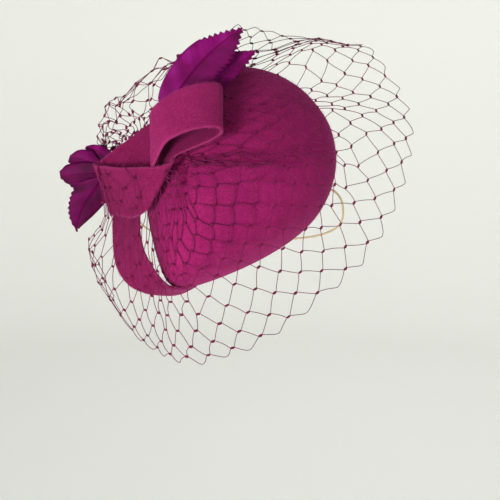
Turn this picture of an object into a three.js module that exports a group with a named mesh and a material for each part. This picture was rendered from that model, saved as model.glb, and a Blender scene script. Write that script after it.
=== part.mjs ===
// A blocked wool felt fascinator: a teardrop crown, a bow of folded felt, plumes and a net veil.
// Millimetres, +Z up. The wearer faces -Y. The origin is the middle of the crown's rim,
// where the hat sits on the head.
import * as THREE from 'three';
import { mergeVertices } from 'three/addons/utils/BufferGeometryUtils.js';

// ---- driving dimensions ----
const FELT = 2.2;             // wall of every felt piece
const CROWN = {
  halfLength: 90,             // rim, half of its long axis
  halfWidth: 63,              // rim, half width before the teardrop terms
  taper: 0.36,                // how much fuller the back end of the teardrop is
  waist: 0.20,                // how much both ends draw in
  height: 50,                 // rim to top
  squareness: 2.4,            // 2 is an ellipsoid, more is boxier
};
const WORN = { turn: 15.5, tilt: 53, roll: -33.5 };   // degrees: about Z, then X, then the crown's axis
const VEIL = {
  cells: 38,                  // net cells along the free edge
  wall: 1.2,
  lift: 1.55,                 // clear height over the crown
  start: 0.16,                // share of each rib that is tucked away inside the bow
};
const BLADE = {
  wall: 1.0,
  blunt: 3.2,                 // more makes both ends of a plume squarer
  swell: 0.62,                // less makes its middle stretch longer
  least: 0.12,                // width left at the quill's ends, before the swell
};
const ELASTIC = { diameter: 2.0, sides: 8, steps: 60 };

// Facets of each bent wall: across is from its u = 0 edge to its u = 1 edge, along is the other way.
const FACETS = {
  crown: { rings: 9, sides: 52 },
  band: { across: 24, along: 2 },
  collar: { across: 40, along: 3 },
  loop: { across: 48, along: 2 },
  plume: { across: 4, along: 10 },
  veil: { across: 56, along: 12 },
};

// The felt band round the crown's low end, from under the collar to where it is tucked under the rim.
// top and foot are the two edges of the strip.
const BAND = [
  { top: [-59, -34, -11], foot: [-79, -3, -17] },
  { top: [-58, -42, -18], foot: [-79, -14, -24] },
  { top: [-57, -50, -27], foot: [-78, -25, -38] },
  { top: [-54, -57, -37], foot: [-75, -35, -51] },
  { top: [-47, -62, -48], foot: [-67, -44, -61] },
  { top: [-40, -64, -56], foot: [-56, -47, -66] },
  { top: [-35, -63, -60], foot: [-45, -47, -68] },
  { top: [-28, -60, -62], foot: [-33, -48, -68] },
  { top: [-22, -56, -61], foot: [-23, -49, -66] },
];

// The collar strip of the bow, from its end behind the loop, round the fold at its left, across the
// front and in again against the crown. top and foot are the two edges of the strip.
const COLLAR = [
  { top: [-50, -20, 43.8], foot: [-39.7, -44.1, 20.6] },
  { top: [-61, -18, 36], foot: [-47.4, -38.4, 9.8] },
  { top: [-76, -13, 25], foot: [-61, -28, -3] },
  { top: [-89, -9, 15], foot: [-77, -15, -17] },
  { top: [-91, -12, 14], foot: [-80, -17, -19] },
  { top: [-88, -17, 14], foot: [-78, -21, -19] },
  { top: [-74, -34, 15], foot: [-71, -31, -18] },
  { top: [-57, -49, 17], foot: [-63, -42, -17] },
  { top: [-43, -58, 19], foot: [-57, -50, -14] },
  { top: [-35, -60, 22], foot: [-52, -53, -10] },
  { top: [-34.5, -54.6, 24.5], foot: [-50, -49, -6] },
];

// The loop of the bow. It is a strip bent round a flat ring; along and out place the ring's rows.
const LOOP = {
  start: [-42.4, -47.2, 19.2],     // lower edge of the strip at its root
  along: [0.913, -0.024, 0.408],
  out: [-0.287, -0.729, 0.599],
  width: [-1, 20, 26.5],        // from the lower edge of the strip to its upper edge
};
const LOOP_ROWS = [
  { along: -3, out: 3.4 },
  { along: -4.5, out: 8 },
  { along: 0, out: 14 },
  { along: 9, out: 18.5 },
  { along: 21, out: 20 },
  { along: 33, out: 17.5 },
  { along: 41, out: 12.5 },
  { along: 44.5, out: 7 },
  { along: 42, out: 2.6 },
  { along: 35, out: 1.2 },
  { along: 22, out: 1.4 },
  { along: 8, out: 1.6 },
  { along: 0, out: 0.2 },
];

// One row for each plume. bow lifts the middle of the quill off the straight line from root to tip;
// side is the way across the blade, width its widest and cup how far its edges curl.
const PLUMES = [
  { name: 'plume_upper_main', root: [-42, -23.3, 46.9], tip: [10, -6.8, 105], bow: [-5, 0, 4],
    side: [0.69, -0.3, -0.65], width: 27, cup: 1.5 },
  { name: 'plume_upper_second', root: [-15, -17.7, 62.5], tip: [19, -2, 90], bow: [-1, 0, 1],
    side: [0.63, -0.15, -0.77], width: 17, cup: 1 },
  { name: 'plume_lower_down', root: [-83, -8, 6], tip: [-104, -16, -32], bow: [-5, 0, -1],
    side: [0.86, 0.1, -0.5], width: 18, cup: 2 },
  { name: 'plume_lower_left', root: [-84, -6, 7], tip: [-116, -4, 5], bow: [0, -1, 0],
    side: [0.05, 0.25, -0.97], width: 14, cup: 2 },
  { name: 'plume_lower_upper', root: [-84, -3, 9], tip: [-109, -5, 18], bow: [-1, -1, 2],
    side: [-0.34, 0.15, -0.93], width: 10, cup: 2 },
  { name: 'plume_lower_back', root: [-77, -7.5, 14.5], tip: [-99, 4, 24], bow: [-1, 0, 2],
    side: [-0.58, 0.2, -0.79], width: 9, cup: 1.5 },
];

// The veil, one row for each rib of the fan, counted in net cells along its free edge. A rib runs
// through its four stations on one smooth curve.
const RIB_STATIONS = ['root', 'near', 'far', 'edge'];
const RIBS = [
  { cell: 0, root: [-88, -17, 13], near: [-83, -26, -19], far: [-98, -6, -40], edge: [-96, 32, -64] },
  { cell: 2.5, root: [-77, -31, 14], near: [-76, -38, -18], far: [-92, -22, -58], edge: [-81, 16, -92] },
  { cell: 4.7, root: [-64, -45, 16], near: [-63, -54, -21], far: [-68, -52, -70], edge: [-63, -27, -104] },
  { cell: 8, root: [-51, -56, 17], near: [-46, -64, -28], far: [-36, -76, -67], edge: [-30, -83, -104] },
  { cell: 10, root: [-44, -62, 17], near: [-28, -65, -24], far: [-12, -81, -63], edge: [-1, -92, -98] },
  { cell: 12, root: [-40, -61, 17], near: [-14, -64, -18], far: [11, -76, -53], edge: [33, -85, -84] },
  { cell: 15, root: [-36, -59, 17], near: [3, -60, -5], far: [47, -56, -29], edge: [88, -53, -47] },
  { cell: 17, root: [-34, -57, 18], near: [11, -57, 8], far: [64, -42, -6], edge: [112, -26, -15] },
  { cell: 19, root: [-34, -52, 20], near: [16, -50, 20], far: [74, -28, 18], edge: [126, 2, 18] },
  { cell: 21, root: [-35, -48, 22], near: [14, -42, 31], far: [74, -16, 40], edge: [128, 29, 48] },
  { cell: 24, root: [-36, -44, 25], near: [8, -27, 49], far: [65, 20, 74], edge: [106, 70, 88] },
  { cell: 25.5, root: [-36.5, -42, 26.5], near: [2, -24, 53], far: [61, 33, 90], edge: [93, 82, 91] },
  { cell: 27, root: [-37, -40, 28], near: [-3, -20, 57], far: [55, 44, 94], edge: [72, 106, 93] },
  { cell: 29, root: [-39, -36, 30], near: [-12, -15, 60], far: [26, 38, 88], edge: [32, 104, 101] },
  { cell: 31.5, root: [-41, -32, 32], near: [-22, -10, 60], far: [-8, 28, 88], edge: [-2, 88, 104] },
  { cell: 34.5, root: [-44, -27, 34], near: [-40, -2, 54], far: [-46, 18, 81], edge: [-58, 62, 62] },
  { cell: 36.5, root: [-52, -16, 38], near: [-60, 4, 46], far: [-85, 13, 52], edge: [-82, 46, 40] },
  { cell: 38, root: [-62, -8, 33], near: [-72, 4, 36], far: [-90, 10, 38], edge: [-86, 30, 20] },
];

// The thin elastic that holds the hat on, from inside the crown's right wall round the back of the
// head to inside its left wall.
const ELASTIC_ROUTE = [
  [68.4, 14, -1.4], [67.6, 17.6, -4.2], [70.5, 22, -7.5], [75.5, 28, -11], [80, 36, -17],
  [83, 47, -26], [84, 64, -38], [80, 84, -49], [67, 102, -58], [46, 118, -64], [24, 128, -68],
  [0, 132, -70], [-24, 128, -68], [-44, 116, -63], [-58, 98, -56], [-66, 78, -47],
  [-69, 56, -37], [-68, 36, -27], [-64, 18, -18], [-59, 4, -11], [-55.2, -9, -3],
  [-52.8, -18, 4.3],
];

// ---- helpers ----
const radians = THREE.MathUtils.degToRad;
const vector = (list) => new THREE.Vector3(...list);

const wornFrame = new THREE.Matrix4()
  .makeRotationZ(radians(WORN.turn))
  .multiply(new THREE.Matrix4().makeRotationX(radians(WORN.tilt)))
  .multiply(new THREE.Matrix4().makeRotationZ(radians(WORN.roll)));
const wornFrameInverse = wornFrame.clone().invert();

// Keeps only positions, merges shared corners and drops triangles that have no area.
function closed(geometry) {
  geometry.deleteAttribute('normal');
  geometry.deleteAttribute('uv');
  geometry.clearGroups();
  const merged = mergeVertices(geometry, 1e-3);
  const index = Array.from(merged.index.array);
  const kept = [];
  for (let i = 0; i < index.length; i += 3) {
    const [a, b, c] = index.slice(i, i + 3);
    if (a !== b && b !== c && c !== a) kept.push(a, b, c);
  }
  merged.setIndex(kept);
  merged.computeVertexNormals();
  return merged;
}

// Reads a table's column at a place between its rows, on a Catmull-Rom curve.
function between(rows, place, column) {
  const at = THREE.MathUtils.clamp(place, 0, 1) * (rows.length - 1);
  const low = Math.min(Math.floor(at), rows.length - 2);
  const pick = (i) => column(rows[THREE.MathUtils.clamp(i, 0, rows.length - 1)]);
  const [p0, p1, p2, p3] = [pick(low - 1), pick(low), pick(low + 1), pick(low + 2)];
  const t = at - low;
  return 0.5 * (2 * p1 + (p2 - p0) * t + (2 * p0 - 5 * p1 + 4 * p2 - p3) * t * t
    + (3 * p1 - p0 - 3 * p2 + p3) * t * t * t);
}

function pointBetween(rows, place, column) {
  return new THREE.Vector3(...[0, 1, 2].map((axis) => between(rows, place, (row) => column(row)[axis])));
}

// Turns a closed mesh right side out if its volume reads negative.
function outward(geometry) {
  const at = geometry.attributes.position;
  const index = Array.from(geometry.index.array);
  const [a, b, c] = [new THREE.Vector3(), new THREE.Vector3(), new THREE.Vector3()];
  let volume = 0;
  for (let i = 0; i < index.length; i += 3) {
    a.fromBufferAttribute(at, index[i]);
    b.fromBufferAttribute(at, index[i + 1]);
    c.fromBufferAttribute(at, index[i + 2]);
    volume += a.dot(b.cross(c)) / 6;
  }
  if (volume < 0) {
    for (let i = 0; i < index.length; i += 3) [index[i], index[i + 1]] = [index[i + 1], index[i]];
    geometry.setIndex(index);
  }
  return geometry;
}

// Bends a flat box into a wall: surface(u, v) is its middle, and the box's depth goes along the normal.
function wall(surface, thickness, facets) {
  const box = new THREE.BoxGeometry(1, 1, 1, facets.across, facets.along, 1);
  const corner = box.attributes.position;
  const step = 1e-3;
  for (let i = 0; i < corner.count; i += 1) {
    const u = corner.getX(i) + 0.5;
    const v = corner.getY(i) + 0.5;
    const du = surface(Math.min(u + step, 1), v).sub(surface(Math.max(u - step, 0), v));
    const dv = surface(u, Math.min(v + step, 1)).sub(surface(u, Math.max(v - step, 0)));
    const normal = du.cross(dv).normalize();
    const point = surface(u, v).addScaledVector(normal, corner.getZ(i) * thickness);
    corner.setXYZ(i, point.x, point.y, point.z);
  }
  return outward(closed(box));
}

function felt(color) {
  return new THREE.MeshStandardMaterial({ color, roughness: 0.95, metalness: 0 });
}

function named(name, geometry, material) {
  const mesh = new THREE.Mesh(geometry, material);
  mesh.name = name;
  return mesh;
}

// ---- crown ----
// Half width of the teardrop rim at an angle from its back end, before the sine.
function fullness(angle) {
  const c = Math.cos(angle);
  return 1 + CROWN.taper * c - CROWN.waist * c * c;
}

function rimPoint(angle, shrink) {
  const side = (CROWN.halfWidth - shrink) * Math.sin(angle) * fullness(angle);
  return new THREE.Vector2(side, (CROWN.halfLength - shrink) * Math.cos(angle));
}

// A lathed dome, inner skin and outer skin in one closed profile, stretched to the teardrop rim.
function makeCrown() {
  const { rings, sides } = FACETS.crown;
  const profile = [];
  for (let i = 0; i <= rings; i += 1) profile.push(domeRow((i / rings) * Math.PI / 2, 0));
  for (let i = rings; i >= 0; i -= 1) profile.push(domeRow((i / rings) * Math.PI / 2, 1));
  profile.push(profile[0].clone());
  const lathe = new THREE.LatheGeometry(profile, sides);
  const corner = lathe.attributes.position;
  for (let i = 0; i < corner.count; i += 1) {
    const angle = Math.atan2(corner.getX(i), corner.getZ(i));
    const reach = Math.hypot(corner.getX(i), corner.getZ(i));
    const rim = rimPoint(angle, 0);
    corner.setXYZ(i, rim.x * reach, rim.y * reach, corner.getY(i));
  }
  return outward(closed(lathe));
}

// One point of the dome's profile: x is the share of the rim's radius, y the height.
function domeRow(lift, inside) {
  const power = 2 / CROWN.squareness;
  const share = 1 - inside * FELT / ((CROWN.halfLength + CROWN.halfWidth) / 2);
  const reach = share * Math.cos(lift) ** power;
  const height = (CROWN.height - inside * FELT) * Math.sin(lift) ** power;
  return new THREE.Vector2(Math.max(reach, 0), height);
}

// ---- band and bow ----
// A flat strip ruled between its two edges, from one row of its table to the next.
function stripSurface(rows) {
  return (u, v) => {
    const foot = pointBetween(rows, u, (row) => row.foot);
    const top = pointBetween(rows, u, (row) => row.top);
    return foot.lerp(top, v);
  };
}

function loopSurface(u, v) {
  const along = between(LOOP_ROWS, u, (row) => row.along);
  const out = between(LOOP_ROWS, u, (row) => row.out);
  return vector(LOOP.start)
    .addScaledVector(vector(LOOP.along), along)
    .addScaledVector(vector(LOOP.out), out)
    .addScaledVector(vector(LOOP.width), v);
}

// ---- plumes ----
// The blade's half width along the quill, as a share of the widest.
function bladeShare(v) {
  return Math.max(BLADE.least, 1 - Math.abs(2 * v - 1) ** BLADE.blunt) ** BLADE.swell;
}

function plumeSurface(row) {
  const side = vector(row.side).normalize();
  const quill = vector(row.tip).sub(vector(row.root));
  const face = side.clone().cross(quill).normalize();
  return (u, v) => {
    const across = 2 * u - 1;
    return vector(row.root)
      .addScaledVector(quill, v)
      .addScaledVector(vector(row.bow), 4 * v * (1 - v))
      .addScaledVector(side, across * bladeShare(v) * row.width / 2)
      .addScaledVector(face, row.cup * across * across * bladeShare(v));
  };
}

// ---- veil ----
// Pushes a point out of the crown, so that the net lies on the felt and doesn't go through it.
function overCrown(point, lift) {
  const local = point.clone().applyMatrix4(wornFrameInverse);
  if (local.z <= 0) return point;
  let angle = Math.atan2(local.x, local.y);
  for (let i = 0; i < 6; i += 1) {
    angle = Math.atan2(local.x / (CROWN.halfWidth * fullness(angle)), local.y / CROWN.halfLength);
  }
  const rim = rimPoint(angle, -lift);
  const reach = Math.hypot(local.x, local.y) / Math.max(rim.length(), 1);
  const rise = local.z / (CROWN.height + lift);
  const share = (reach ** CROWN.squareness + rise ** CROWN.squareness) ** (1 / CROWN.squareness);
  if (share >= 1) return point;
  return local.divideScalar(share).applyMatrix4(wornFrame);
}

// u runs round the fan, so that a net cell takes the same step of u everywhere, and v from root to edge.
function veilSurface(u, v) {
  const cell = u * VEIL.cells;
  let low = 0;
  while (low < RIBS.length - 2 && RIBS[low + 1].cell < cell) low += 1;
  const share = (cell - RIBS[low].cell) / (RIBS[low + 1].cell - RIBS[low].cell);
  const place = (low + share) / (RIBS.length - 1);
  const rib = RIB_STATIONS.map((station) => pointBetween(RIBS, place, (row) => row[station]).toArray());
  const along = VEIL.start + (1 - VEIL.start) * v;
  const point = pointBetween(rib, along, (at) => at);
  return overCrown(point, VEIL.lift + VEIL.wall / 2);
}

// ---- elastic ----
function makeElastic() {
  const section = new THREE.Shape();
  section.absarc(0, 0, ELASTIC.diameter / 2, 0, 2 * Math.PI, false);
  const route = new THREE.CatmullRomCurve3(ELASTIC_ROUTE.map(vector));
  const tube = new THREE.ExtrudeGeometry(section, {
    steps: ELASTIC.steps,
    curveSegments: ELASTIC.sides / 2,
    extrudePath: route,
  });
  return outward(closed(tube));
}

// ---- assembly ----
const fascinator = new THREE.Group();

const worn = new THREE.Group();
worn.applyMatrix4(wornFrame);
worn.add(named('crown', makeCrown(), felt('#a3276a')));
fascinator.add(worn);

fascinator.add(named('rim_band', wall(stripSurface(BAND), FELT, FACETS.band), felt('#98265f')));
fascinator.add(named('collar', wall(stripSurface(COLLAR), FELT, FACETS.collar), felt('#9d2765')));
fascinator.add(named('loop', wall(loopSurface, FELT, FACETS.loop), felt('#a3276a')));

for (const row of PLUMES) {
  const dyed = new THREE.MeshStandardMaterial({ color: '#7a1668', roughness: 0.45, metalness: 0 });
  fascinator.add(named(row.name, wall(plumeSurface(row), BLADE.wall, FACETS.plume), dyed));
}

const netting = new THREE.MeshStandardMaterial({ color: '#6b1846', roughness: 0.5, metalness: 0 });
fascinator.add(named('veil', wall(veilSurface, VEIL.wall, FACETS.veil), netting));

const cord = new THREE.MeshStandardMaterial({ color: '#d8c6a8', roughness: 0.8, metalness: 0 });
fascinator.add(named('head_elastic', makeElastic(), cord));

export default fascinator;
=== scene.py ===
"""A wool felt fascinator: a blocked teardrop crown, a bow of felt strips, cut plumes and a net veil.

Places and sizes are in millimetres in the object's own frame, +Z up, with the wearer facing -Y and the
origin at the middle of the crown's rim. Meshes are written in metres.
"""

import bmesh
import bpy
import numpy as np
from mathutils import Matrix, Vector


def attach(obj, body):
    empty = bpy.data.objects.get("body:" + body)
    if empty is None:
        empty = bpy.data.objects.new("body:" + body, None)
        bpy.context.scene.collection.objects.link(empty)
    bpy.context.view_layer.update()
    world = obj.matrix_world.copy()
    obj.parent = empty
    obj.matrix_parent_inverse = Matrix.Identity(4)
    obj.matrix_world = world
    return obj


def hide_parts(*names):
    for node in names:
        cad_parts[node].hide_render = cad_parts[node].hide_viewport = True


MM = 0.001
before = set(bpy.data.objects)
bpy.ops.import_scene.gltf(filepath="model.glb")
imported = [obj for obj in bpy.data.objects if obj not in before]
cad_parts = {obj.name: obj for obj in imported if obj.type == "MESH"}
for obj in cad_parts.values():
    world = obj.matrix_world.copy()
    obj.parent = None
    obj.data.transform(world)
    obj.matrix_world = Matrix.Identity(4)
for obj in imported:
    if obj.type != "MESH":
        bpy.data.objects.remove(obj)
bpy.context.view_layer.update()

# ---- driving sizes ----
FELT = 2.2                      # wall of every felt piece
CROWN = dict(half_length=90, half_width=63, taper=0.36, waist=0.20, height=50, squareness=2.4)
WORN = dict(turn=15.5, tilt=53, roll=-33.5)
CROWN_GRID = dict(sides=300, rings=80)
# cells along the free edge, cells folded back behind the last rib, rows from the free edge to the root,
# thread thickness, a knot's length and thickness, points on a path, height over the crown, least root level
NET = dict(cells=42, back=2, rows=17, thread=0.48, knot=(3.0, 1.7), steps=7, lift=0.8, start=0.03)
ELASTIC_DIAMETER = 1.6
# loose fibres of the felt: how many on each piece, how far they reach, and a thickness that shows
NAP = dict(crown=9500, strip=2200, reach=(0.5, 1.4), thick=0.08)

# The two edges of the felt band, from under the bow to where it tucks under the rim.
BAND_TOP = [
    (-59, -34, -11), (-58, -42, -18), (-57, -50, -27), (-54, -57, -37), (-47, -62, -48),
    (-40, -64, -56), (-35, -62, -59.5), (-28, -58, -60), (-20, -51, -58),
]
BAND_FOOT = [
    (-79, -3, -17), (-79, -14, -24), (-78, -25, -38), (-75, -35, -51), (-67, -44, -61),
    (-56, -47, -66), (-45, -47, -68), (-33, -48, -67), (-21, -47, -61.5),
]

# The two edges of the collar, from behind the loop, round the fold at its left and across the front.
COLLAR_TOP = [
    (-50, -20, 43.8), (-61, -18, 36), (-76, -13, 25), (-89, -9, 15), (-91, -12, 14),
    (-88, -17, 14), (-74, -34, 15), (-57, -49, 17), (-43, -58, 19), (-35, -60, 22),
    (-34.5, -54.6, 24.5),
]
COLLAR_FOOT = [
    (-39.7, -44.1, 20.6), (-47.4, -38.4, 9.8), (-61, -28, -3), (-77, -15, -17), (-80, -17, -19),
    (-78, -21, -19), (-71, -31, -18), (-63, -42, -17), (-57, -50, -14), (-52, -53, -10),
    (-50, -49, -6),
]

# The loop is a strip bent to a flat ring. Its rows say how far along and out the ring has gone.
LOOP = dict(start=(-42.4, -47.2, 19.2), along=(0.913, -0.024, 0.408), out=(-0.287, -0.729, 0.599),
            width=(-1, 20, 26.5))
LOOP_ALONG_OUT = [
    (-3, 3.4), (-4.5, 8), (0, 14), (9, 18.5), (21, 20), (33, 17.5), (41, 12.5), (44.5, 7),
    (42, 2.6), (35, 1.2), (22, 1.4), (8, 1.6), (0, 0.2),
]

# Barbs stand a pitch apart as far as last, a share of the quill. Each has steps points and leans towards
# the tip by sweep. A tooth of the pinked edge has a long slope, rise, and a short one, fall, as shares of
# its pitch.
BARB = dict(pitch=0.36, sweep=8.5, steps=8, last=0.985)
TOOTH = dict(pitch=3.4, rise=0.72, fall=0.28)

# left and right are the vane's half widths at even steps along the quill, as shares of half its width.
# teeth is the depth of the pinked edge, and notched where it starts on the left and right. A plume's
# shade offset makes the whole plume paler or darker, a painted shade on the lower plumes, and the main
# plume's highlight share lightens its left side, a painted highlight.
PLUMES = [
    dict(name="plume_upper_main", painted_shade=0.0, painted_highlight=0.13, root=(-42, -23.3, 46.9), tip=(10, -6.8, 105),
         bow=(-5, 0, 4), side=(0.69, -0.3, -0.65), width=27, cup=1.5, teeth=2.2, notched=(0.66, 0.5),
         left=(0.62, 0.86, 0.96, 0.97, 0.92, 0.76, 0.44, 0.06),
         right=(0.6, 0.9, 1.08, 1.15, 1.2, 1.16, 0.74, 0.12)),
    dict(name="plume_upper_second", painted_shade=0, root=(-15, -17.7, 62.5), tip=(19, -2, 90), bow=(-1, 0, 1),
         side=(0.63, -0.15, -0.77), width=17, cup=1, teeth=1.4, notched=(0.4, 0.3),
         left=(0.9, 1.3, 1.4, 1.3, 1.2, 0.95, 0.5, 0.1), right=(0.5, 0.8, 0.86, 0.84, 0.78, 0.6, 0.38, 0.08)),
    dict(name="plume_lower_down", painted_shade=-0.42, root=(-83, -8, 6), tip=(-104, -16, -32), bow=(-5, 0, -1),
         side=(0.86, 0.1, -0.5), width=18, cup=2, teeth=1.2, notched=(0.15, 0.85),
         left=(0.9, 1.3, 1.4, 1.36, 1.2, 0.98, 0.62, 0.05),
         right=(0.9, 1.1, 1.22, 1.16, 0.95, 0.64, 0.3, 0.05)),
    dict(name="plume_lower_left", painted_shade=-0.55, root=(-84, -6, 7), tip=(-116, -4, 5), bow=(0, -1, 0),
         side=(0.05, 0.25, -0.97), width=14, cup=2, teeth=1.1, notched=(0.99, 0.4),
         left=(0.7, 0.95, 1.1, 1.2, 1.2, 1.1, 1.0, 0.5), right=(0.8, 1.1, 1.5, 1.75, 1.8, 1.7, 1.2, 0.4)),
    dict(name="plume_lower_upper", painted_shade=-0.12, root=(-84, -3, 9), tip=(-109, -5, 18), bow=(-1, -1, 2),
         side=(-0.34, 0.15, -0.93), width=10, cup=2, teeth=0, notched=(1, 1),
         left=(0.8, 1.1, 1.3, 1.36, 1.36, 1.2, 0.9, 0.3), right=(0.9, 1.2, 1.5, 1.6, 1.6, 1.5, 1.4, 0.8)),
    dict(name="plume_lower_back", painted_shade=-0.25, root=(-77, -7.5, 14.5), tip=(-99, 4, 24), bow=(-1, 0, 2),
         side=(-0.58, 0.2, -0.79), width=9, cup=1.5, teeth=0, notched=(1, 1),
         left=(0.8, 0.95, 1.0, 1.0, 0.98, 0.85, 0.6, 0.2), right=(0.8, 1.1, 1.3, 1.4, 1.3, 1.1, 0.8, 0.3)),
]

# The veil's ribs: net cells along the free edge, and the stations root, near, far and edge.
RIB_CELLS = [0, 2.5, 4.7, 8, 10, 12, 15, 17, 19, 21, 24, 25.5, 27, 29, 31.5, 34.5, 36.5, 38, 40, 42]
RIBS = [
    ((-88, -17, 13), (-83, -26, -19), (-98, -6, -40), (-96, 32, -64)),
    ((-77, -31, 14), (-76, -38, -18), (-92, -22, -58), (-81, 16, -92)),
    ((-64, -45, 16), (-63, -54, -21), (-68, -52, -70), (-63, -27, -104)),
    ((-51, -56, 17), (-46, -64, -28), (-36, -76, -67), (-30, -83, -104)),
    ((-44, -62, 17), (-28, -65, -24), (-12, -81, -63), (-1, -92, -98)),
    ((-40, -61, 17), (-14, -64, -18), (11, -76, -53), (33, -85, -84)),
    ((-36, -59, 17), (3, -60, -5), (47, -56, -29), (88, -53, -47)),
    ((-34, -57, 18), (11, -57, 8), (64, -42, -6), (112, -26, -15)),
    ((-34, -52, 20), (16, -50, 20), (74, -28, 18), (126, 2, 18)),
    ((-35, -48, 22), (14, -42, 31), (74, -16, 40), (128, 29, 48)),
    ((-36, -44, 25), (8, -27, 49), (65, 20, 74), (106, 70, 88)),
    ((-36.5, -42, 26.5), (2, -24, 53), (61, 33, 90), (93, 82, 91)),
    ((-37, -40, 28), (-3, -20, 57), (55, 44, 94), (72, 106, 93)),
    ((-39, -36, 30), (-12, -15, 60), (26, 38, 88), (32, 104, 101)),
    ((-41, -32, 32), (-22, -10, 60), (-8, 28, 88), (-2, 88, 104)),
    ((-44, -27, 34), (-40, -2, 54), (-46, 18, 81), (-58, 62, 62)),
    ((-52, -16, 38), (-60, 4, 46), (-85, 13, 52), (-82, 46, 40)),
    ((-62, -8, 33), (-72, 4, 36), (-90, 10, 38), (-86, 30, 20)),
    ((-70, -3, 28), (-78, 6, 31), (-88, 12, 28), (-85, 24, 12)),
    ((-80, 1, 20), (-83, 7, 22), (-85, 12, 18), (-83, 20, 4)),
]

# How far the net's own columns slip round the fan, in cells, at every second row from the free edge in.
SLIP = {
    0: (0, 0, 0, 0, 0, 0, 0, 0, 0),
    1: (0, 0, 0.1, 0.1, -0.4, -1, -1, -1, -1),
    2: (0, 0.1, 0.2, 0.3, -0.5, -1.7, -2, -2, -2),
    3: (0, 0.1, 0.3, 0.5, -0.1, -1.3, -1.8, -1.8, -1.8),
    4: (0, 0, 0.1, 0.3, 0.9, 1.45, 1.8, 1.8, 1.8),
    5: (0, 0, 0.2, 0.6, 1.3, 2, 2.4, 2.4, 2.4),
    6: (0, 0, 0.2, 0.5, 0.9, 1.5, 1.9, 2, 2),
    7: (0, -0.1, 0, 0.2, 0.5, 0.9, 1.2, 1.3, 1.3),
    8: (0, -0.3, -0.4, -0.3, -0.1, 0.2, 0.6, 0.8, 1),
    9: (0, -0.35, -0.6, -0.5, -0.35, 0.05, 0.7, 0.7, 0.9),
    10: (0, -0.35, -0.75, -0.7, -0.5, -0.1, 0.5, 0.8, 1.1),
    11: (0, -0.05, -0.2, 0, 0.2, 0.4, 0.6, 1, 1.5),
    12: (0, 0.1, 0.25, 0.45, 0.55, 0.85, 0.6, 0.95, 1.5),
    13: (0, 0.2, 0.4, 0.75, 1.2, 2, 2.85, 3.3, 3.6),
    14: (0, 0.2, 0.5, 1.1, 2, 3.4, 4.8, 4.6, 4.5),
    15: (0, 0.35, 0.75, 1.5, 2.6, 3.9, 4.1, 4.2, 4.2),
    16: (0, 0.35, 0.85, 1.7, 2.8, 2.7, 2.9, 2.7, 2.7),
    17: (0, 0.35, 0.75, 2.1, 2.4, 2.3, 2.6, 2.4, 2.4),
    18: (0, 0.5, 0.75, 1.6, 1.7, 2, 1.9, 2.1, 2.1),
    19: (0, 0.65, 1.4, 1.65, 1.6, 2.1, 2.9, 2.9, 2.9),
    20: (0, 0.65, 1.3, 2, 2.2, 2.4, 3, 3.2, 3.2),
    21: (0, 0.5, 0.9, 1.3, 1.6, 2.1, 3, 3.2, 3.2),
    22: (0, 0.3, 0.45, 0.7, 1, 1.9, 3.2, 3.4, 3.4),
    23: (0, 0.3, 0.4, 0.55, 0.85, 2.2, 3.5, 3.8, 3.8),
    24: (0, 0.3, 0.9, 1.55, 1.75, 2.6, 3.8, 4, 4),
    27: (0, 0.3, 0.8, 1.5, 2.2, 2.8, 3.2, 3.4, 3.4),
    31: (0, 0.2, 0.8, 1.2, 1.6, 2, 2, 2, 2),
    38: (0, 0, 0, 0, 0, 0, 0, 0, 0),
}

# The level of every second row on a few columns, from 1, the free edge, to 0, the root. The rows that
# come out below 0 are taken up in the gathers.
LEVEL = {
    0: (1, 0.82, 0.64, 0.44, 0.235, 0.065, -0.1, -0.3, -0.5),
    4: (1, 0.82, 0.64, 0.45, 0.245, 0.075, -0.08, -0.25, -0.4),
    5: (1, 0.84, 0.67, 0.49, 0.3, 0.1, -0.1, -0.3, -0.5),
    6: (1, 0.86, 0.7, 0.53, 0.36, 0.1, -0.1, -0.3, -0.5),
    7: (1, 0.87, 0.71, 0.56, 0.38, 0.12, -0.1, -0.3, -0.5),
    8: (1, 0.877, 0.721, 0.58, 0.46, 0.333, 0.215, 0.1, 0),
    13: (1, 0.845, 0.72, 0.56, 0.46, 0.333, 0.23, 0.12, 0.02),
    16: (1, 0.84, 0.7, 0.62, 0.54, 0.44, 0.34, 0.22, 0.1),
    19: (1, 0.878, 0.765, 0.66, 0.55, 0.46, 0.355, 0.22, 0.08),
    24: (1, 0.888, 0.76, 0.65, 0.55, 0.46, 0.36, 0.22, 0.08),
    26: (1, 0.85, 0.73, 0.655, 0.6, 0.53, 0.42, 0.25, 0.1),
    28: (1, 0.82, 0.69, 0.645, 0.615, 0.58, 0.46, 0.27, 0.1),
    32: (1, 0.82, 0.69, 0.64, 0.59, 0.5, 0.38, 0.22, 0.06),
    36: (1, 0.84, 0.68, 0.54, 0.41, 0.29, 0.18, 0.09, 0),
    38: (1, 0.78, 0.56, 0.36, 0.18, 0.04, -0.1, -0.2, -0.3),
    42: (1, 0.62, 0.28, -0.05, -0.2, -0.4, -0.6, -0.8, -1),
}

# The thin elastic, from inside the crown's right wall round the back of the head to its left wall.
ELASTIC_ROUTE = [
    (68.4, 14, -1.4), (67.6, 17.6, -4.2), (70.5, 22, -7.5), (75.5, 28, -11), (80, 36, -17),
    (83, 47, -26), (84, 64, -38), (80, 84, -49), (67, 102, -58), (46, 118, -64), (24, 128, -68),
    (0, 132, -70), (-24, 128, -68), (-44, 116, -63), (-58, 98, -56), (-66, 78, -47),
    (-69, 56, -37), (-68, 36, -27), (-64, 18, -18), (-59, 4, -11), (-55.2, -9, -3),
    (-52.8, -18, 4.3),
]

# The view, and the round cove that the object stands in.
CAMERA = dict(lens=77.1, place=(14.3, -733.6, 108.1), aim=(14.3, 0, -47.8))
STAGE = dict(floor=-900.0, radius=2600.0, bend=900.0, wall=3000.0, sides=96)


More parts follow.
